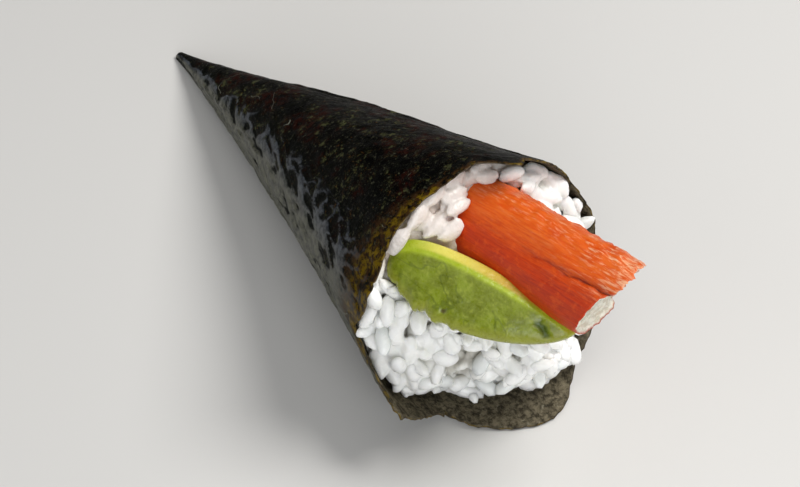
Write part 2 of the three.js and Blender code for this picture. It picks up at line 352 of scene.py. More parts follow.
# ---- nori ----
WRAP_COLUMNS = 380
OUTSIDE_ROWS = 160
LINING_ROWS = 64
ROW_CROWDING = 1.25  # how strongly the rows crowd towards the rim
LAYER_GAP = 0.05 * MM  # between the two layers of the sheet
FOLD_TURN = 54 * DEGREE  # of the fold along the upper side
FOLD_WIDTH = 0.8 * MM
FOLD_START = 40 * MM
FOLD_END = 100 * MM
FOLD_FADES = (8 * MM, 12 * MM)  # lengths over which it begins and ends
FOLD_WANDER = (0.05, 6 * MM)  # how far it strays as a turn, and its pitch
OUTER_SHORTER = 1.6 * MM  # the outer layer's rim ends under the inner one's
CORNER_CUT = 2.5 * MM  # by which the sheet's corners are rounded
CORNER_WIDTH = 1.6 * MM
RAG_REACH = 28  # millimetres from the axis, where the rim's noise is taken
RAG_COARSE = 5 * MM
RAG_FINE = 1.3 * MM
FLANK_TOP = (84, 116)  # turns, in degrees, where the flank begins at the tip and the rim
FLANK_RISE = 54 * DEGREE
FLANK_FOOT = 340 * DEGREE
FLANK_FALL = 50 * DEGREE
PLATE_SIZE = 3.4 * MM  # of the plates between the sheet's creases
PLATE_STRETCH = 3.5  # how much longer they are along the roll
PLATE_HEIGHT = 3.2
PLATE_BEND = 1.2  # millimetres by which their edges are bent
BEND_SIZE = 7 * MM
DENT_SIZE = 9 * MM
PLATES_ON_TOP = 0.3  # share of the plates' height that is left on top
DENT_SHARE = 0.6  # heights of the dents and the fold beside the plates'
FOLD_SHARE = 1.6
FOLD_CREST = 1.2  # how much painted sheen the fold's crest takes, beside the plates
SMOOTH_TIP = 20 * MM  # length over which the crinkles grow from the tip
THIN_TIP = 8 * MM  # and the sheet's thickness
STAIN_SPOT = (152, 24)  # turn and width of the broad stain at the rim
STAIN_WIDTH = (1.6, 20)  # of the stain along the rim and at that spot, in millimetres


def wrap_reach(along, turn, wound):
    """Distance from the cone's axis to the outside of the sheet, so many turns in from its outer edge."""
    size = along / RIM_ALONG
    reach = along * SPREAD + TIP_RADIUS * exp(-along / TIP_LENGTH)
    reach -= SHEET * wound * size
    for centre, width, rise, at in BELLY:
        reach += rise * MM * swell(turn, centre, width) * sin(pi / 2 * min(1, size) / at)
    for lobes, pitch, height in WRINKLES:
        reach += height * size * sin(lobes * turn + along / pitch)
    return reach


def wound_at(turn):
    """How many turns in from its outer edge the sheet's outer layer is at a turn."""
    return ((OUTER_EDGE - turn) % FULL_TURN) / FULL_TURN


def lining_reach(along, turn):
    """Distance from the cone's axis to the inside of the innermost layer."""
    wound = wound_at(turn)
    layers = 2 if wound < WOUND - 1 else 1
    return wrap_reach(along, turn, wound) - layers * SHEET


def rim_along(turn, wound, rag):
    """Distance from the tip to the rim, with the sheet's rounded corners and ragged edge."""
    rim = RIM_ALONG + bumps(RIM_BUMPS, turn)
    if wound < WOUND - 1:
        rim -= OUTER_SHORTER
    from_corner = min(wound, WOUND - wound) * FULL_TURN * RIM_ALONG * SPREAD
    rim -= CORNER_CUT * exp(-from_corner / CORNER_WIDTH)
    place = Vector((cos(turn), sin(turn), 0.3 * wound)) * RAG_REACH * MM
    return rim + rag * (wavy(place, RAG_COARSE) + 0.5 * wavy(place, RAG_FINE))


def even_rim(turn):
    """The outer layer's rim without its ragged edge."""
    return rim_along(turn, wound_at(turn), 0)


def on_flank(turn, share):
    """1 on the side towards -Y and below, where the sheet is more wrinkled and painted lighter grey, a
    painted sheen, 0 on top.
    """
    rising = (turn - lerp(*FLANK_TOP, share) * DEGREE) / FLANK_RISE
    falling = (FLANK_FOOT - turn) / FLANK_FALL
    return min(1, max(0, min(rising, falling)))


def crinkle(place, turn, along):
    """Heights of the sheet's creased plates, of its softer dents and of its one fold."""
    stretched = Vector((place.x / PLATE_STRETCH, place.y, place.z))
    bent = stretched + Vector((0, 1, 1)) * PLATE_BEND * MM * wavy(place, BEND_SIZE, 2)
    plates = 1 - abs(wavy(bent, PLATE_SIZE, 2)) * PLATE_HEIGHT
    dents = wavy(place, DENT_SIZE, 2)
    strays, pitch = FOLD_WANDER
    from_fold = (turn - FOLD_TURN - strays * sin(along / pitch)) * along * SPREAD
    begins, ends = FOLD_FADES
    shown = smooth_step(FOLD_START, FOLD_START + begins, along)
    shown *= smooth_step(FOLD_END, FOLD_END - ends, along)
    return max(-1, plates), dents, exp(-((from_fold / FOLD_WIDTH) ** 2)) * shown


def make_wrap(settings):
    rows = OUTSIDE_ROWS + LINING_ROWS + 1

    def place(column, row):
        wound = WOUND * column / WRAP_COLUMNS
        turn = OUTER_EDGE - wound * FULL_TURN
        rim = rim_along(turn, wound, settings.rag)
        lining = row > OUTSIDE_ROWS
        if lining:
            back = (row - OUTSIDE_ROWS - 1) / LINING_ROWS
        else:
            back = (OUTSIDE_ROWS - row) / OUTSIDE_ROWS
        along = rim * (1 - back ** ROW_CROWDING)
        layer = int(min(wound, WOUND - 0.001))
        reach = wrap_reach(along, turn, wound) - layer * LAYER_GAP
        spot = at_turn(along, reach, turn)
        around = turn % FULL_TURN
        flank = on_flank(around, along / RIM_ALONG)
        plates, dents, fold = crinkle(spot, around, along)
        height = (PLATES_ON_TOP + flank) * plates + DENT_SHARE * dents + FOLD_SHARE * fold
        reach += settings.crinkle * height * min(1, along / SMOOTH_TIP)
        thick = 0
        if lining and 0 < column < WRAP_COLUMNS:
            thick = SHEET * min(1, along / THIN_TIP)
        if along == 0:
            reach = 0
        reach = max(reach - thick, 0)
        spot = at_turn(along, reach, turn)
        spot.z = max(spot.z, thick + layer * (SHEET + LAYER_GAP))
        stained = lerp(*STAIN_WIDTH, swell(turn, *STAIN_SPOT)) * MM
        stain = smooth_step(stained, 0, rim - along)
        return spot, (float(lining), stain, flank, plates + FOLD_CREST * fold)

    form = grid_form(WRAP_COLUMNS, rows, place, ("inside", "stain", "flank", "crest"))
    return add_piece("nori_wrap", form, nori_finish(settings), "nori")


def nori_finish(settings):
    finish = Finish("nori")
    inside, stain, flank, crest = finish.marks("inside", "stain", "flank", "crest")
    patches = finish.lumps(9 * MM)
    coarse = finish.lumps(5 * MM, detail=4, roughness=0.6)
    fine = finish.lumps(1.3 * MM, detail=5, roughness=0.75)
    flecks = finish.lumps(1.7 * MM, detail=6, roughness=0.75, distortion=0.4)
    lengthwise = finish.stretched(finish.place, (0.35, 1, 1))
    grain = finish.lumps(1.4 * MM, lengthwise, detail=5, roughness=0.7, distortion=0.6)
    # the darkest colour is painted lighter on the flank: a painted sheen
    darkest = finish.mix(flank, screen(1, 1, 1), screen(20, 22, 20))
    finish.colour = finish.mix(fine.between(0.5, 0.64), darkest, tuple(settings.colour))
    specks = finish.lumps(0.8 * MM, detail=4, roughness=0.8)
    finish.cover(specks.between(0.57, 0.67, 0, 0.6), 92, 92, 74)
    ochre = specks.between(0.42, 0.34, 0, 0.6) * coarse.between(0.46, 0.56)
    finish.cover(ochre, 104, 72, 34)
    maroon = patches.between(0.5, 0.6) * fine.between(0.44, 0.6) * (1 - flank)
    finish.cover(maroon, 40, 12, 6)
    moss = coarse.between(0.5, 0.6) * flecks.between(0.53, 0.6)
    finish.cover(moss * 0.9, 74, 76, 48)
    # grey plates between dark creases, partly the sheet's own mottling and partly a painted sheen on the
    # crinkles' crests: close together on the flank, and few elsewhere
    plates = (crest + (grain - 0.5) * 2.4 + flank * 2.8).between(1.9, 2.5) * (0.2 + 0.8 * flank)
    plates = plates * (1 - 0.6 * stain)
    # the blue-grey and pale greys of the plates are painted sheen, paler towards the lower silhouette
    bluer = finish.mix(fine.between(0.38, 0.6), screen(38, 43, 52), screen(92, 98, 106))
    paler = finish.mix(fine.between(0.34, 0.62), screen(30, 32, 27), screen(94, 94, 79))
    sheen_grey = finish.mix(flank.between(0.6, 1.0), bluer, paler)
    finish.colour = finish.mix(plates, finish.colour, sheen_grey)
    rusty = stain.between(0.0, 0.5) * fine.between(0.42, 0.58)
    finish.cover(rusty * 0.8, 66, 44, 22)
    olive = stain.between(0.35, 0.85) * flecks.between(0.46, 0.56)
    olive = olive * coarse.between(0.4, 0.52)
    finish.cover(olive, 112, 90, 14)
    hairs = finish.lumps(8 * MM, detail=1, distortion=0.4) - 0.5
    hairs = (hairs * hairs).between(0.0, 0.00003, 1, 0) * patches.between(0.6, 0.63)
    finish.cover(hairs * 0.7, 140, 144, 130)
    lining = finish.mix(fine.between(0.36, 0.62), screen(50, 46, 37), screen(110, 102, 84))
    lining = finish.mix(flecks.between(0.5, 0.38, 0, 0.5), lining, screen(40, 36, 28))
    lining = finish.mix(flecks.between(0.6, 0.68, 0, 0.7), lining, screen(140, 134, 116))
    finish.colour = finish.mix(inside, finish.colour, lining)
    finish.set("Base Color", finish.colour)
    finish.set("Specular IOR Level", 0.01)
    finish.set("Coat Weight", plates * 0.55 * (1 - inside))
    finish.set("Coat Roughness", 0.32)
    finish.set("Roughness", fine.between(0.3, 0.7, 0.3, 0.5) + inside * 0.3)
    finish.relief(plates * 0.4 + grain * flank * 0.4 + fine * 0.3, 0.9 * MM, 0.8)
    return finish


# ---- crab stick ----
STICK_COLUMNS = 168
STICK_ROWS = 150
END_ROWS = 16
DEEP_SIZE = 0.88  # of its section at the inner end
FULL_SIZE_AT = 0.6  # share of its length
CREASE_TURNS = (0.62, 0.48)  # half turns at which the crease begins and ends
CREASE_PARTS = ((0.5, 0.05), (0.3, 0.18))  # depth and width of its groove and of the dip round it
CREASE_WANDER = ((0.03, 17), (0.025, 53), (0.02, 111))
CREASE_LINE = 0.045  # width of the painted shade line along it
WHITE_FROM = 0.06  # share of the cut end that its orange edge takes up
NOISE_REACH = 9  # millimetres from its middle line, where its noise is taken
FIBRE_SIZE = 0.9 * MM
FIBRE_STRETCH = 6
WAVE_SIZE = 5 * MM
WAVE_STRETCH = 2.5
WAVE_HEIGHT = 0.3 * MM
NOTCH_SIZE = 2.4 * MM  # of the notches along its upper edge
NOTCH_HEIGHT = 0.5 * MM
END_SLANT = (0.25, 0.3, 0.58)  # of the cut end: across the stick, and through its lower and upper half
HALVES_MEET = 1.5 * MM  # half the width over which the lower half gives way to the upper one
END_SUNK = 0.8 * MM  # of the white end inside the orange edge
TORN_SIZE = 1.1 * MM
TORN_SHARES = (0.35, 0.9)  # of the fray, on the lower and the upper half
CRUMB_SIZE = 1.6 * MM
CRUMB_HEIGHT = 0.35 * MM


def from_crease(turn, share):
    """How far a turn is from the crease, which wanders along the stick."""
    wander = sum(reach * sin(pace * share) for reach, pace in CREASE_WANDER)
    return turn - pi * lerp(*CREASE_TURNS, share) - wander


def stick_section(turn, share, depth):
    """Distance from the stick's middle line to its surface, with its lengthwise crease."""
    size = lerp(DEEP_SIZE, 1, min(1, share / FULL_SIZE_AT))
    reach = section_reach(turn, STICK_WIDTH / 2 * size, STICK_THICK / 2 * size, STICK_SQUARENESS)
    away = from_crease(turn, share)
    dip = sum(part * exp(-((away / width) ** 2)) for part, width in CREASE_PARTS)
    return reach - depth * dip * lerp(0.15, 1, smooth_step(0.75, 1, share))


def make_stick(settings):
    length, width, face = STICK_DIRECTIONS
    deep = in_cone(STICK_DEEP[0], 0, STICK_DEEP[1])
    mouth = TIP + STICK_MOUTH
    inside = (deep - mouth).length
    bend = deep - (mouth - length * inside)
    rows = STICK_ROWS + END_ROWS

    def middle(distance):
        spot = mouth + length * distance
        if distance < 0:
            spot += bend * (distance / inside) ** 2
        return spot

    def place(column, row):
        turn = FULL_TURN * column / STICK_COLUMNS
        share = min(1, max(0, (row - 1) / (STICK_ROWS - 1)))
        ring = Vector((*on_circle(1, turn), 0))
        distance = lerp(-inside, STICK_OUTSIDE, share)
        if row == 0:
            return middle(distance), (0.0, 1.0, 0.0)
        to_middle = max(0, (row - STICK_ROWS) / END_ROWS)
        around = ring * NOISE_REACH * MM
        fibres = wavy(around + Vector((0, 0, distance / FIBRE_STRETCH)), FIBRE_SIZE, 2)
        waves = wavy(around + Vector((0, 0, distance / WAVE_STRETCH)), WAVE_SIZE, 2)
        notches = wavy(around + Vector((0, 0, distance)), NOTCH_SIZE, 3)
        reach = stick_section(turn, share, settings.crease)
        reach += settings.fibre * fibres + WAVE_HEIGHT * waves
        reach += NOTCH_HEIGHT * notches * max(0, cos(turn)) ** 3
        full = Vector(on_circle(reach, turn))
        sideways, out = full.x * (1 - to_middle), full.y * (1 - to_middle)
        upper = smooth_step(-HALVES_MEET, HALVES_MEET, sideways)
        cut = END_SLANT[0] * sideways + lerp(*END_SLANT[1:], upper) * out
        torn = wavy(around, TORN_SIZE, 3) * lerp(*TORN_SHARES, upper)
        cut += settings.fray * torn * (1 - to_middle)
        if to_middle > 0:
            cut -= END_SUNK * smooth_step(0, 0.12, to_middle)
            crumb = Vector((sideways, out, 0))
            cut += CRUMB_HEIGHT * wavy(crumb, CRUMB_SIZE, 3) * smooth_step(0, 0.1, to_middle)
        spot = middle(distance) + width * sideways + face * out + length * cut * share
        creased = exp(-((from_crease(turn, share) / CREASE_LINE) ** 2)) * smooth_step(0.6, 0.95, share)
        return spot, (float(to_middle > WHITE_FROM), STICK_OUTSIDE - distance, creased)

    form = grid_form(STICK_COLUMNS, rows, place, ("cut", "from_end", "creased"))
    return add_piece("crab_stick_fibres", form, stick_finish(settings), "crab_stick")


def stick_finish(settings):
    finish = Finish("crab_stick")
    flat = finish.flat("flat")
    drawn_out = finish.stretched(flat, (1.6, 0.2, 1))
    fibres = finish.lumps(0.016, drawn_out, detail=5, roughness=0.7, distortion=0.5)
    drawn_out = finish.stretched(flat, (1.7, 0.5, 1))
    dashes = finish.lumps(0.02, drawn_out, detail=5, roughness=0.7, distortion=0.4)
    mottle = finish.lumps(1.6 * MM, detail=5, roughness=0.7)
    patches = finish.lumps(6 * MM)
    cut, from_end, creased = finish.marks("cut", "from_end", "creased")
    length, width, face = STICK_DIRECTIONS
    middle = TIP + STICK_MOUTH
    dot = {"operation": "DOT_PRODUCT"}
    from_middle = finish.node("VectorMath", dot, {0: finish.place, 1: width}, "Value") - middle.dot(width)
    upper = from_middle.between(-4.0 * MM, 4.0 * MM)
    fibrous = fibres.between(0.35, 0.65)
    # one orange as lit and shaded copies: the lower half darker as painted shade, the upper half lighter as
    # painted light
    shaded_lower_colour = finish.mix(fibrous, screen(170, 40, 0), screen(196, 58, 2))
    lit_upper_colour = finish.mix(fibrous, tuple(settings.colour), screen(224, 104, 30))
    finish.colour = finish.mix(upper, shaded_lower_colour, lit_upper_colour)
    finish.cover(patches.between(0.5, 0.7, 0, 0.5), 190, 52, 0)
    finish.cover(mottle.between(0.52, 0.64, 0, 0.35), 222, 92, 22)
    near_end = from_end.between(1 * MM, 20 * MM, 1, 0)
    near_edge = from_middle.between(3 * MM, 8 * MM)
    pale = dashes.between(0.5, 0.68) * (0.08 + 0.45 * near_end + 0.45 * near_edge) * upper
    frayed = from_end.between(0.5 * MM, 6 * MM, 0.6, 0) * dashes.between(0.42, 0.6) * upper
    pale = pale + frayed * (1 - pale)
    finish.cover(pale, 240, 190, 150)
    # painted shade along the crease, where the upper half overhangs the lower
    finish.cover(creased * dashes.between(0.36, 0.56), 132, 14, 2)
    white = finish.mix(mottle.between(0.4, 0.6), screen(234, 230, 216), screen(204, 194, 174))
    finish.colour = finish.mix(cut, finish.colour, white)
    finish.set("Base Color", finish.colour)
    finish.set("Roughness", fibres.between(0.3, 0.7, 0.32, 0.5))
    finish.set("Specular IOR Level", 0.35)
    finish.flesh(0.12, (1.0, 0.35, 0.2), 1.2 * MM)
    finish.relief(fibres * 0.6 + dashes * 0.4, 0.3 * MM, 0.6)
    return finish


# ---- avocado ----
AVOCADO_COLUMNS = 140
AVOCADO_ROWS = 150
BAND = 2.6 * MM  # width of the paler inner flesh along the pit side
AVOCADO_BLUNTNESS = 0.4  # of its two ends
BEVEL = 0.34  # share of the thickness by which that side is bevelled
FACE_LUMPS = ((6 * MM, 0.25), (1.2 * MM, 0.06))  # size, and height in millimetres
RIND = (3 * MM, 0.3 * MM)  # from the skin side, where its paler edge begins and is full
SKIN_RAG_SIZE = 2.4 * MM
BLEMISH_RAG_SIZE = 1.3 * MM
# Blemishes on its face: both ends, along and across it, then the radius and the depth.
BLEMISHES = (
    ((14.8 * MM, -6.7 * MM), (15.1 * MM, -6.6 * MM), 0.45 * MM, 0.3 * MM),
    ((33.7 * MM, -2.2 * MM), (35.8 * MM, -3.6 * MM), 1.0 * MM, 0.6 * MM),
)


def arc(side, share):
    height, skew, power = side
    return height * abs(sin(pi * share ** skew)) ** power


def from_line(spot, start, end):
    """Distance from a place on a face to the line between two others."""
    step = end - start
    share = (spot - start).dot(step) / step.length_squared
    return (spot - start - step * min(1, max(0, share))).length


def make_avocado(settings):
    length, width, face = AVOCADO_DIRECTIONS

    def place(column, row):
        turn = FULL_TURN * column / AVOCADO_COLUMNS
        share = (1 - cos(pi * row / AVOCADO_ROWS)) / 2
        pit = arc(PIT_SIDE, share)
        skin = arc(SKIN_SIDE, share)
        ragged = Vector((share * AVOCADO_LENGTH, 0, 0))
        skin *= 1 + settings.rag * wavy(ragged, SKIN_RAG_SIZE, 3) * smooth_step(0.55, 0.3, share)
        sideways = (pit - skin) / 2
        out = -AVOCADO_THICK / 2
        if 0 < row < AVOCADO_ROWS:
            half_thick = AVOCADO_THICK / 2 * sin(pi * share) ** AVOCADO_BLUNTNESS
            reach = section_reach(turn, (pit + skin) / 2, half_thick, AVOCADO_SQUARENESS)
            sideways += reach * cos(turn)
            above = reach * sin(turn)
            bevel = max(0, sideways - (pit - BAND)) / BAND
            out += above * (1 - BEVEL * bevel * max(0, above) / half_thick)
        along = share * AVOCADO_LENGTH
        spot = TIP + AVOCADO_TIP + length * along + width * sideways + face * out
        lump = sum(wavy(spot, size, 2) * height * MM for size, height in FACE_LUMPS)
        spot += face * lump * min(1, 4 * share, 4 * (1 - share))
        blemish = 0.0
        for start, end, radius, depth in BLEMISHES:
            away = from_line(Vector((along, sideways)), Vector(start), Vector(end)) / radius
            away = max(0, away + 0.45 * wavy(spot, BLEMISH_RAG_SIZE, 2))
            blemish = max(blemish, exp(-away * away))
            if 0 < turn < pi:
                spot -= face * depth * exp(-away * away)
        band = smooth_step(pit - BAND * 1.5, pit - BAND * 0.4, sideways)
        rind = smooth_step(-skin + RIND[0], -skin + RIND[1], sideways)
        return spot, (band, rind, share, blemish)

    form = grid_form(AVOCADO_COLUMNS, AVOCADO_ROWS, place, ("band", "rind", "share", "blemish"))
    return add_piece("avocado_slice", form, avocado_finish(settings), "avocado")


def avocado_finish(settings):
    finish = Finish("avocado")
    coarse = finish.lumps(6 * MM, detail=4, roughness=0.6)
    fine = finish.lumps(1.0 * MM, detail=4, roughness=0.6)
    band, rind, share, blemish = finish.marks("band", "rind", "share", "blemish")
    veins = finish.lumps(9 * MM, finish.stretched(finish.place, (0.4, 1, 1)), distortion=0.6) - 0.5
    finish.colour = finish.mix(coarse.between(0.35, 0.65), tuple(settings.colour), screen(122, 136, 30))
    finish.cover(fine.between(0.5, 0.68, 0, 0.6), 144, 154, 54)
    finish.cover((veins * veins).between(0.0, 0.0002, 0.45, 0), 70, 84, 18)
    yellow = finish.mix(share.between(0.25, 0.7), screen(216, 206, 96), screen(176, 140, 44))
    finish.cover(band.between(0.0, 0.5) * 0.8, 160, 178, 34)
    finish.colour = finish.mix(band.between(0.62, 1.0) * share.between(0.04, 0.3), finish.colour, yellow)
    finish.cover(rind * 0.6, 158, 160, 44)
    blemished = finish.mix(share.between(0.4, 0.6), screen(66, 50, 22), screen(56, 78, 12))
    blemished_share = blemish.between(0.15, 1.0) * 0.85
    finish.colour = finish.mix(blemished_share, finish.colour, blemished)
    finish.set("Base Color", finish.colour)
    finish.set("Roughness", fine.between(0.3, 0.7, 0.22, 0.42))
    finish.flesh(0.15, (0.8, 0.8, 0.3), 1.5 * MM)
    finish.relief(fine * 0.6 + coarse * 0.4, 0.35 * MM, 0.6)
    return finish


# ---- rice ----
CORE_COLUMNS = 150
CORE_FACE_ROWS = 50
CORE_SIDE_ROWS = 12
CORE_START = 34 * MM
CORE_DEPTH = 3.4 * MM  # of the core's face under the rice's
SIDE_GAP = 0.7 * MM  # between the core and the wrap
LOOSE_ROUNDNESS = 2  # subdivisions of a loose grain
BED_ROUNDNESS = 3  # and of one in the bed
GRAIN_KINDS = 8
FUSED_WITHIN = 0.37 * MM  # grid on which the bed's grains are fused
SLAB = (66, 146)  # turns, in degrees, between which the rice is pressed smooth
CORNER = (14, 66)  # and those between which it is only patted down
PATTED = 0.65
FARTHEST_MOVE = 2.0 * MM  # that a grain is moved to be clear of what is round it
OVERLAP = 1.3 * MM  # of grains over the avocado's edge
GAP_FLOOR = -2.5 * MM  # below this no grains lie on the lower ones
MOUTH_MARGIN = 1.2 * MM  # from the wrap to the outermost grains' middles
NEAR_ENOUGH = 0.1 * MM
HEAP_LUMPS = (1.3 * MM, 5 * MM)  # height and size
CORE_LUMPS = 3 * MM
CORE_RELIEF = 0.9  # millimetres
DARKENING = (0.2 * MM, -2.4 * MM)  # heights over the face where the painted shade of the deeper rice is least and greatest
WINDOW_EDGE = 8  # degrees over which the pressed rice gives way to loose rice
WINDOW_REACH = (8 * MM, 12 * MM)  # distances from the axis over which it begins
GRAIN_BEND = 0.3
GRAIN_TAPER = (0.02, 0.28)
GRAIN_LUMPS = 0.2
GRAIN_PLACES = (-0.8, -0.4, 0, 0.4, 0.8)  # along its half length, where its thickness is felt for
BEHIND = 6 * MM  # how far behind a grain the avocado is looked for
CLUMP_SIZE = 7 * MM
GRAIN_SIZES = (0.8, 1.12)  # least and greatest, beside the settings' size
PRESSED_GAP = 0.3 * MM  # between the rice and the sheet, which crinkles inwards by as much
# Sticky clumps and the gaps between them: place across and above the cone's axis, radius and rise,
# all in millimetres.
CLUMPS = (
    (-20, -3, 5.0, 2.4),
    (-15, -13, 4.0, 1.0),
    (-1, -15, 4.5, 2.6),
    (8, -17, 4.5, 1.6),
    (-10, -9.5, 3.3, -8.5),
    (-7, -18, 2.6, -4.0),
    (-17.5, 1, 1.8, -3.5),
    (-21, 8, 3.0, -1.0),
    (22, 11, 4.0, 1.5),
    (-16, -21, 4.5, -4.0),
)
EDGE_GRAIN_SIZE = Vector((1.15, 1, 1))
# Grains that lie along the heap's lower edge: place across and above the axis, and height over the face.
EDGE_GRAINS = (
    (-15.6, -18.6, 1.3 * MM),
    (-6.4, -24.0, 1.3 * MM),
)
# Layers of grains that are fused: spacing, tries, height and how much lower it is where the rice is
# pressed, both in millimetres, how far grains tip, and the lowest gap that they reach into.
LAYERS = (
    (3.8 * MM, 2500, -2.4, 0.0, 0.5, -1),
    (3.5 * MM, 4000, -1.3, 0.2, 0.7, -1),
    (3.5 * MM, 4000, -0.3, 0.0, 1.2, GAP_FLOOR),
)
# The same for the loose ones, but how much higher they lie in a clump, and from where they lie at all.
LOOSE_LAYER = (4.0 * MM, 3000, 0.9, 0.6, 1.1, GAP_FLOOR)
LOOSE_FROM = -0.15


def rice_face(sideways, up, clumpiness=1.0):
    """Distance along the cone's axis to the face of the rice, over a place in the mouth."""
    turn = atan2(up, sideways)
    share = min(1, hypot(sideways, up) / MOUTH_RADIUS)
    edge = bumps(RICE_BUMPS, turn) * share ** 2
    away = (sideways - MOUND_ACROSS) ** 2 + (up - MOUND_UP) ** 2
    mound = MOUND_HEIGHT * exp(-away / (2 * MOUND_WIDTH ** 2)) * (1 - share ** 4)
    loose = 1 - pressed_at(sideways, up)
    height, size = HEAP_LUMPS
    relief = height * loose * wavy(Vector((sideways, up, 0.01)), size, 1)
    return RICE_ALONG + edge + mound + clumpiness * (relief + clumps(sideways, up))


def clumps(sideways, up):
    """Height of the sticky clumps, below 0 in the gaps between them."""
    height = 0.0
    for across, over, radius, rise in CLUMPS:
        away = (sideways - across * MM) ** 2 + (up - over * MM) ** 2
        height += rise * MM * exp(-away / (2 * (radius * MM) ** 2))
    return height


def on_face(sideways, up):
    return in_cone(rice_face(sideways, up), sideways, up)


def face_normal(sideways, up):
    step = 0.5 * MM
    here = on_face(sideways, up)
    right = on_face(sideways + step, up) - here
    over = on_face(sideways, up + step) - here
    return right.cross(over).normalized()


def in_window(window, sideways, up):
    """1 between two turns and away from the cone's axis, with soft edges."""
    turn = degrees(atan2(up, sideways)) % 360
    low, high = window
    share = smooth_step(low - WINDOW_EDGE, low + WINDOW_EDGE, turn)
    share *= smooth_step(high + WINDOW_EDGE, high - WINDOW_EDGE, turn)
    return share * smooth_step(*WINDOW_REACH, hypot(sideways, up))


def pressed_at(sideways, up):
    """1 where the rice is pressed smooth between the wrap and the stick, 0 where it lies loose."""
    return max(in_window(SLAB, sideways, up), PATTED * in_window(CORNER, sideways, up))


def make_core(settings):
    """The mass of the rice under its loose grains."""
    rows = CORE_FACE_ROWS + CORE_SIDE_ROWS
    face_reach = MOUTH_RADIUS - 2 * SHEET - SIDE_GAP

    def place(column, row):
        turn = -FULL_TURN * column / CORE_COLUMNS
        reach = face_reach * min(1, row / CORE_FACE_ROWS)
        sideways, up = on_circle(reach, turn)
        along = rice_face(sideways, up) - CORE_DEPTH * (1 - 0.4 * in_window(SLAB, sideways, up))
        reach = min(reach, lining_reach(along, turn) - SIDE_GAP)
        sideways, up = on_circle(reach, turn)
        back = (row - CORE_FACE_ROWS) / CORE_SIDE_ROWS
        if row < CORE_FACE_ROWS:
            spot = in_cone(along, sideways, up)
            spot += face_normal(sideways, up) * CORE_RELIEF * MM * wavy(spot, CORE_LUMPS, 2)
        elif row < rows:
            along = lerp(along, CORE_START, back)
            reach = lining_reach(along, turn) - SIDE_GAP
            spot = at_turn(along, reach, turn)
            spot.z = max(spot.z, SHEET + SIDE_GAP)
        else:
            spot = in_cone(CORE_START, 0, 0)
        return spot, ()

    return add_rice("rice_core", grid_form(CORE_COLUMNS, rows, place), settings)


def add_rice(name, form, settings):
    mark_rice(form)
    return add_piece(name, form, rice_finish(settings, name), "rice")


def mark_rice(form):
    """Mark the corners of a form that lie in the pressed slab, and how deep each one lies: masks for the
    painted shade and reflection.
    """
    slab = form.verts.layers.float.new("slab")
    deep = form.verts.layers.float.new("deep")
    for corner in form.verts:
        along, sideways, up = from_cone(corner.co)
        corner[slab] = in_window(SLAB, sideways, up)
        corner[deep] = smooth_step(*DARKENING, along - rice_face(sideways, up, 0.35))


def press_in(form):
    """Press the rice behind the rim in against the sheet, so that none comes through it."""
    for corner in form.verts:
        along, sideways, up = from_cone(corner.co)
        turn = atan2(up, sideways)
        if along > even_rim(turn):
            continue
        reach = min(hypot(sideways, up), lining_reach(along, turn) - PRESSED_GAP)
        corner.co = at_turn(along, reach, turn)


def grain_templates(settings, roundness):
    """A few grains of slightly different bend, taper and lumpiness, as meshes."""
    draw = random.Random(3)
    templates = []
    for number in range(GRAIN_KINDS):
        form = bmesh.new()
        form.verts.layers.float.new("tint")
        bmesh.ops.create_icosphere(form, subdivisions=roundness, radius=1)
        bend = draw.uniform(-GRAIN_BEND, GRAIN_BEND)
        taper = draw.uniform(*GRAIN_TAPER)
        kind = Vector((9 * number, 0, 0))
        for corner in form.verts:
            along = corner.co.x
            corner.co *= 1 + GRAIN_LUMPS * noise.noise(corner.co * 1.5 + kind)
            corner.co.y = corner.co.y * (1 - taper * along) + bend * along * along
            corner.co.z *= 1 - taper * along
        bmesh.ops.scale(form, verts=form.verts, vec=settings.half_grain())
        templates.append(make_mesh("grain", form))
    return templates


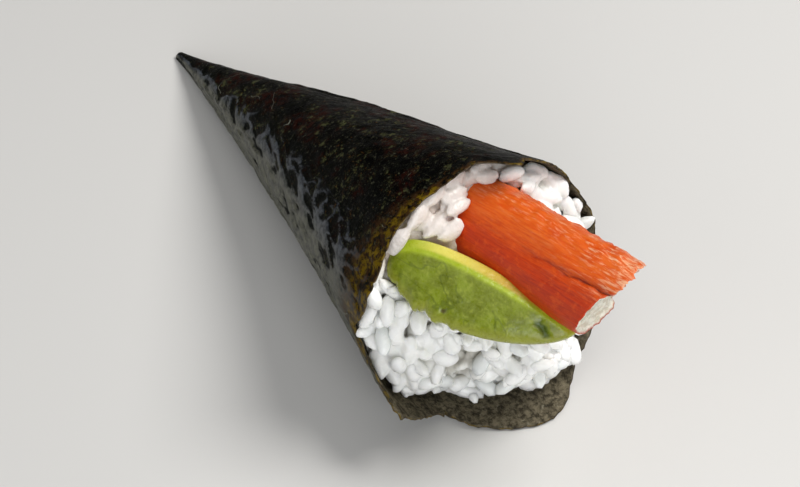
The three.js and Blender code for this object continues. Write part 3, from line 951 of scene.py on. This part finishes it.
class Bed:
    """Places for grains on the face of the rice, kept apart and clear of the fillings and the wrap."""

    def __init__(self, settings, fillings):
        self.settings = settings
        self.draw = random.Random(settings.seed)
        self.trees = []
        for filling in fillings:
            corners = [corner.co.copy() for corner in filling.data.vertices]
            faces = [tuple(face.vertices) for face in filling.data.polygons]
            self.trees.append(BVHTree.FromPolygons(corners, faces))
        length, width, face = AVOCADO_DIRECTIONS
        self.avocado_middle = TIP + AVOCADO_TIP + length * AVOCADO_LENGTH / 2
        self.grains = []

    def clear(self, centre, turned, halves):
        """The grain's middle, moved clear of what is round it, or None where that can't be."""
        start = centre
        for attempt in range(8):
            pushes = []
            for end in GRAIN_PLACES:
                spot = centre + turned @ Vector((end * halves.x, 0, 0))
                radius = (halves.y + halves.z) / 2 * sqrt(1 - end * end * 0.8)
                pushes.append(self.push_from(spot, radius))
            push = max(pushes, key=lambda vector: vector.length)
            if push.length < NEAR_ENOUGH:
                return centre
            centre = centre + push
            if (centre - start).length > FARTHEST_MOVE:
                return None
        return None

    def push_from(self, spot, radius):
        push = Vector((0, 0, 0))
        for tree in self.trees:
            near, normal, face, distance = tree.find_nearest(spot)
            within = (spot - near).dot(normal) < -0.9 * distance
            gap = -distance if within else distance
            if gap < radius:
                push += normal * (radius - gap)
        along, sideways, up = from_cone(spot)
        turn = atan2(up, sideways)
        rim = even_rim(turn)
        room = lining_reach(min(along, rim), turn) - hypot(sideways, up)
        if along < rim + radius and room < radius:
            push -= (ACROSS * cos(turn) + UPWARD * sin(turn)) * (radius - room)
        over_floor = spot.z + push.z - radius - 2 * (SHEET + LAYER_GAP)
        if over_floor < 0:
            push.z -= over_floor
        return push

    def hides_avocado(self, centre):
        """Whether the avocado lies close behind the place, away from its edge."""
        outward = centre - self.avocado_middle
        outward -= AXIS * outward.dot(AXIS)
        start = centre + outward.normalized() * OVERLAP
        return self.trees[1].ray_cast(start, -AXIS, BEHIND)[0] is not None

    def apart(self, step, round_rim, pressed):
        """Distance between two grains. Pressed ones lie end to end along the rim."""
        lengthwise = step.dot(round_rim)
        crosswise = (step - round_rim * lengthwise).length
        return hypot(lengthwise / (1 + 0.7 * pressed), crosswise * (1 + 0.1 * pressed))

    def lay(self, spacing, tries, raised, tipped, floor, keep=lambda spot, pressed: True):
        """One layer of grains. Its height and whether a grain stays come from functions of the place
        and of how far the rice is pressed there."""
        mouth = MOUTH_RADIUS - MOUTH_MARGIN
        layer = []
        for attempt in range(tries):
            reach = mouth * sqrt(self.draw.random())
            turn = self.draw.uniform(0, FULL_TURN)
            sideways, up = on_circle(reach, turn)
            spot = on_face(sideways, up)
            pressed = pressed_at(sideways, up)
            round_rim = UPWARD * cos(turn) - ACROSS * sin(turn)
            if any(self.apart(spot - other, round_rim, pressed) < spacing for other in layer):
                continue
            if not keep(spot, pressed) or clumps(sideways, up) < floor:
                continue
            normal = face_normal(sideways, up)
            flat = normal.to_track_quat("Z", "Y")
            tip = tipped * (1 - 0.8 * pressed)
            yaw = self.draw.uniform(0, pi)
            if pressed > self.draw.uniform(0.1, 0.9):
                along_rim = flat.inverted() @ round_rim
                yaw = atan2(along_rim.y, along_rim.x) + self.draw.uniform(-0.35, 0.35)
            spin = Euler((self.draw.uniform(-0.5, 0.5), self.draw.uniform(-tip, tip), yaw), "XYZ")
            turned = flat @ spin.to_quaternion()
            size = Vector([self.draw.uniform(*GRAIN_SIZES) for side in range(3)])
            size.z *= 1 - 0.2 * pressed
            halves = self.settings.half_grain() * size
            height = raised(spot, pressed)
            height += self.draw.uniform(-1, 1) * self.settings.rough * (1 - 0.6 * pressed)
            centre = self.clear(spot + normal * height, turned, halves)
            if centre is None or self.hides_avocado(centre):
                continue
            layer.append(spot)
            self.grains.append(Matrix.LocRotScale(centre, turned, size))

    def lay_along_edge(self):
        """The grains that lie side on along the heap's lower edge."""
        for across, over, height in EDGE_GRAINS:
            sideways, up = across * MM, over * MM
            normal = face_normal(sideways, up)
            flat = normal.to_track_quat("Z", "Y")
            round_rim = flat.inverted() @ (UPWARD * sideways - ACROSS * up)
            turned = flat @ Quaternion((0, 0, 1), atan2(round_rim.y, round_rim.x))
            halves = self.settings.half_grain()
            centre = self.clear(on_face(sideways, up) + normal * height, turned, halves)
            if centre is not None:
                self.grains.append(Matrix.LocRotScale(centre, turned, EDGE_GRAIN_SIZE))


def clump(spot):
    """How far a place is in a clump of loose grains, from about -1, in a gap, to 1."""
    return max(-1, min(1, 1.6 * wavy(spot, CLUMP_SIZE, 2)))


def grains_form(settings, places, roundness, draw):
    """The grains that lie at the places, each in its own tint."""
    templates = grain_templates(settings, roundness)
    form = bmesh.new()
    for place in places:
        grain = draw.choice(templates).copy()
        tint = draw.random()
        grain.attributes["tint"].data.foreach_set("value", [tint] * len(grain.vertices))
        grain.transform(place)
        form.from_mesh(grain)
        bpy.data.meshes.remove(grain)
    return form


def fused(form):
    """The form with its pieces grown together where they touch, as sticky grains are."""
    mesh = make_mesh("fused", form)
    piece = add_object("fused", mesh)
    remesh = piece.modifiers.new("fuse", "REMESH")
    remesh.mode = "VOXEL"
    remesh.voxel_size = FUSED_WITHIN
    evaluated = piece.evaluated_get(bpy.context.evaluated_depsgraph_get())
    result = bmesh.new()
    result.from_mesh(evaluated.to_mesh())
    bpy.data.objects.remove(piece)
    bpy.data.meshes.remove(mesh)
    bmesh.ops.smooth_vert(result, verts=result.verts, factor=0.5,
                          use_axis_x=True, use_axis_y=True, use_axis_z=True)
    bmesh.ops.triangulate(result, faces=result.faces)
    return result


def make_bed(settings, fillings):
    """The grains of the heap's face, grown together, and the loose ones that lie on them."""
    bed = Bed(settings, fillings)
    for spacing, tries, height, lower, tipped, floor in LAYERS:
        bed.lay(spacing, tries, lambda spot, pressed: (height - lower * pressed) * MM, tipped, floor)
    count = len(bed.grains)
    spacing, tries, height, higher, tipped, floor = LOOSE_LAYER
    bed.lay(spacing, tries, lambda spot, pressed: (height + higher * clump(spot)) * MM, tipped, floor,
            lambda spot, pressed: pressed < 0.5 and clump(spot) > LOOSE_FROM)
    bed.lay_along_edge()
    form = fused(grains_form(settings, bed.grains[:count], BED_ROUNDNESS, bed.draw))
    press_in(form)
    add_rice("rice_bed", form, settings)
    form = grains_form(settings, bed.grains[count:], LOOSE_ROUNDNESS, bed.draw)
    press_in(form)
    return add_rice("rice_grains", form, settings)


def rice_finish(settings, name):
    finish = Finish(name)
    tint, slab, deep = finish.marks("tint", "slab", "deep")
    cloudy = finish.lumps(2.5 * MM, detail=2)
    finish.colour = finish.mix(tint.between(0.5, 1.0), tuple(settings.colour), screen(232, 235, 234))
    finish.cover(cloudy.between(0.45, 0.75, 0, 0.5), 234, 236, 232)
    # painted shade of the crab stick's shadow on the pressed slab, tinted pink as a painted reflection of
    # the stick
    finish.cover(slab * 0.8, 208, 198, 192)
    # painted shade: deeper rice, in the gaps between grains, is darker, and pinker in the slab
    shaded = finish.mix(slab, screen(196, 192, 182), screen(200, 182, 168))
    finish.colour = finish.mix(deep * 0.7, finish.colour, shaded)
    finish.set("Base Color", finish.colour)
    finish.set("Roughness", cloudy.between(0.3, 0.7, 0.22, 0.4))
    finish.flesh(0.6, (1.0, 0.97, 0.9), 1.8 * MM)
    finish.relief(finish.lumps(1.0 * MM) * (1 + slab * 1.5), 0.2 * MM, 0.5)
    return finish


# ---- stage ----
CAMERA_PLACE = Vector((0.3513, -0.2288, 0.4750))
CAMERA_AIM = Vector((0.0180, -0.0030, 0.0200))
CAMERA_ROLL = -2.06 * DEGREE
NEAREST = 0.01  # that the camera shows
FLOOR_HALF = 1.5
FLOOR_ROUGHNESS = 0.6
SKY = (0.9, 0.92, 0.95, 1)
WARM = (1.0, 0.985, 0.96)
COOL = (0.97, 0.985, 1.0)
# Lights, named as the settings of their power: place, aim, size and colour.
LIGHTS = (
    ("window", (0.24, 0.46, 0.76), (0.02, 0, 0.02), 0.45, WARM),
    ("overhead", (0.10, -0.15, 1.10), (0.02, 0, 0.02), 1.2, WARM),
    ("card", (-0.35, -0.75, 0.25), (0.0, 0, 0.02), 0.7, COOL),
    ("fill", (0.80, -0.35, 0.40), (0.02, 0, 0.02), 0.7, COOL),
)


def look(place, aim, roll=0.0):
    turned = (aim - place).to_track_quat("-Z", "Y") @ Quaternion((0, 0, 1), roll)
    return Matrix.LocRotScale(place, turned, None)


def make_floor(settings):
    form = bmesh.new()
    bmesh.ops.create_grid(form, x_segments=4, y_segments=4, size=FLOOR_HALF)
    mesh = make_mesh("floor", form)
    finish = Finish("floor")
    finish.set("Base Color", tuple(settings.floor))
    finish.set("Roughness", FLOOR_ROUGHNESS)
    mesh.materials.append(finish.material)
    floor = add_object("floor", mesh)


def add_light(name, place, aim, size, shade, power):
    lamp = bpy.data.lights.new(name, "AREA")
    lamp.shape = "DISK"
    lamp.size = size
    lamp.energy = power
    lamp.color = shade
    add_object(name, lamp, look(Vector(place), Vector(aim)))


def make_camera(settings):
    camera = bpy.data.cameras.new("camera")
    camera.lens = settings.lens
    camera.clip_start = NEAREST
    placed = look(CAMERA_PLACE, CAMERA_AIM, CAMERA_ROLL)
    bpy.context.scene.camera = add_object("camera", camera, placed)


def make_stage(settings):
    scene = bpy.context.scene
    scene.view_settings.view_transform = "Standard"
    make_floor(settings)
    for name, *light in LIGHTS:
        add_light(name, *light, getattr(settings, name))
    world = bpy.data.worlds.new("surroundings")
    world.use_nodes = True
    sky = world.node_tree.nodes["Background"]
    sky.inputs["Color"].default_value = SKY
    sky.inputs["Strength"].default_value = settings.surroundings
    scene.world = world
    make_camera(settings)


# ---- settings ----
def length_value(name, description, default):
    return FloatProperty(name=name, description=description, default=default, unit="LENGTH")


def colour_value(name, description, *shade):
    return FloatVectorProperty(
        name=name, description=description, default=screen(*shade), subtype="COLOR")


def power_value(name, description, default):
    return FloatProperty(name=name, description=description, default=default, unit="POWER")


class WrapSettings(bpy.types.PropertyGroup):
    crinkle: length_value("Crinkle", "Height of the sheet's crinkles", 0.28 * MM)
    rag: length_value("Rag", "How uneven the rim is", 0.5 * MM)
    colour: colour_value("Colour", "Colour of the sheet's greener patches", 12, 14, 9)


class StickSettings(bpy.types.PropertyGroup):
    crease: length_value("Crease", "Depth of the lengthwise crease", 1.3 * MM)
    fibre: length_value("Fibre", "Height of the fibres", 0.08 * MM)
    fray: length_value("Fray", "How uneven the cut end is", 1.1 * MM)
    # the upper half's colour holds painted light; the lower half's darker colour is painted shade
    colour: colour_value("Colour", "Colour of the stick's upper half", 212, 78, 8)


class AvocadoSettings(bpy.types.PropertyGroup):
    rag: FloatProperty(
        name="Rag", description="How uneven the skin side is at its broad end, as a share",
        default=0.2, subtype="FACTOR")
    colour: colour_value("Colour", "Colour of the flesh", 100, 110, 22)


class RiceSettings(bpy.types.PropertyGroup):
    rough: length_value("Roughness", "How far grains lie above or below their layer", 0.5 * MM)
    length: length_value("Length", "Length of a grain", 6.8 * MM)
    width: length_value("Width", "Width of a grain", 3.5 * MM)
    thick: length_value("Thickness", "Thickness of a grain", 3.0 * MM)
    seed: IntProperty(
        name="Seed", description="Another number lays the grains in another way", default=12)
    colour: colour_value("Colour", "Colour of the grains", 250, 250, 246)

    def half_grain(self):
        return Vector((self.length, self.width, self.thick)) / 2


class StageSettings(bpy.types.PropertyGroup):
    lens: FloatProperty(
        name="Lens", description="Focal length of the camera", default=128, unit="CAMERA")
    window: power_value("Window light", "Power of the soft main light", 7.4)
    overhead: power_value("Overhead light", "Power of the broad light above", 2.7)
    card: power_value("Side light", "Power of the low light beside the roll", 1.3)
    fill: power_value("Fill light", "Power of the light on the mouth", 4.8)
    surroundings: FloatProperty(
        name="Surroundings", description="Strength of the light from all round", default=0.05,
        subtype="FACTOR")
    floor: colour_value("Floor", "Colour of the floor", 209, 208, 206)


# ---- operators ----
class HANDROLL_OT_wrap(bpy.types.Operator):
    """Make the wound sheet of nori"""
    bl_idname = "handroll.wrap"
    bl_label = "Nori Wrap"

    def execute(self, context):
        make_wrap(context.scene.handroll_wrap)
        return {"FINISHED"}


class HANDROLL_OT_stick(bpy.types.Operator):
    """Make the crab stick"""
    bl_idname = "handroll.crab_stick"
    bl_label = "Crab Stick"

    def execute(self, context):
        make_stick(context.scene.handroll_stick)
        return {"FINISHED"}


class HANDROLL_OT_avocado(bpy.types.Operator):
    """Make the slice of avocado"""
    bl_idname = "handroll.avocado"
    bl_label = "Avocado Slice"

    def execute(self, context):
        make_avocado(context.scene.handroll_avocado)
        return {"FINISHED"}


class HANDROLL_OT_rice(bpy.types.Operator):
    """Make the rice: its core, and the grains that show, laid round the fillings"""
    bl_idname = "handroll.rice"
    bl_label = "Rice"

    def execute(self, context):
        fillings = [bpy.data.objects[name] for name in ("crab_stick_fibres", "avocado_slice")]
        make_core(context.scene.handroll_rice)
        make_bed(context.scene.handroll_rice, fillings)
        return {"FINISHED"}


class HANDROLL_OT_stage(bpy.types.Operator):
    """Make the floor, the lights and the camera"""
    bl_idname = "handroll.stage"
    bl_label = "Stage"

    def execute(self, context):
        make_stage(context.scene.handroll_stage)
        return {"FINISHED"}


class HANDROLL_PT_panel(bpy.types.Panel):
    bl_label = "Hand Roll"
    bl_idname = "HANDROLL_PT_panel"
    bl_space_type = "VIEW_3D"
    bl_region_type = "UI"
    bl_category = "Hand Roll"

    def draw(self, context):
        for name, settings, operator in PARTS:
            box = self.layout.box()
            values = getattr(context.scene, name)
            for key in settings.__annotations__:
                box.prop(values, key)
            box.operator(operator.bl_idname)


PARTS = (
    ("handroll_stick", StickSettings, HANDROLL_OT_stick),
    ("handroll_avocado", AvocadoSettings, HANDROLL_OT_avocado),
    ("handroll_wrap", WrapSettings, HANDROLL_OT_wrap),
    ("handroll_rice", RiceSettings, HANDROLL_OT_rice),
    ("handroll_stage", StageSettings, HANDROLL_OT_stage),
)


def register():
    for name, settings, operator in PARTS:
        bpy.utils.register_class(settings)
        bpy.utils.register_class(operator)
        setattr(bpy.types.Scene, name, PointerProperty(type=settings))
    bpy.utils.register_class(HANDROLL_PT_panel)


def unregister():
    bpy.utils.unregister_class(HANDROLL_PT_panel)
    for name, settings, operator in reversed(PARTS):
        delattr(bpy.types.Scene, name)
        bpy.utils.unregister_class(operator)
        bpy.utils.unregister_class(settings)


def main():
    register()
    bpy.ops.handroll.crab_stick()
    bpy.ops.handroll.avocado()
    bpy.ops.handroll.wrap()
    bpy.ops.handroll.rice()
    bpy.ops.handroll.stage()


if __name__ == "__main__":
    main()
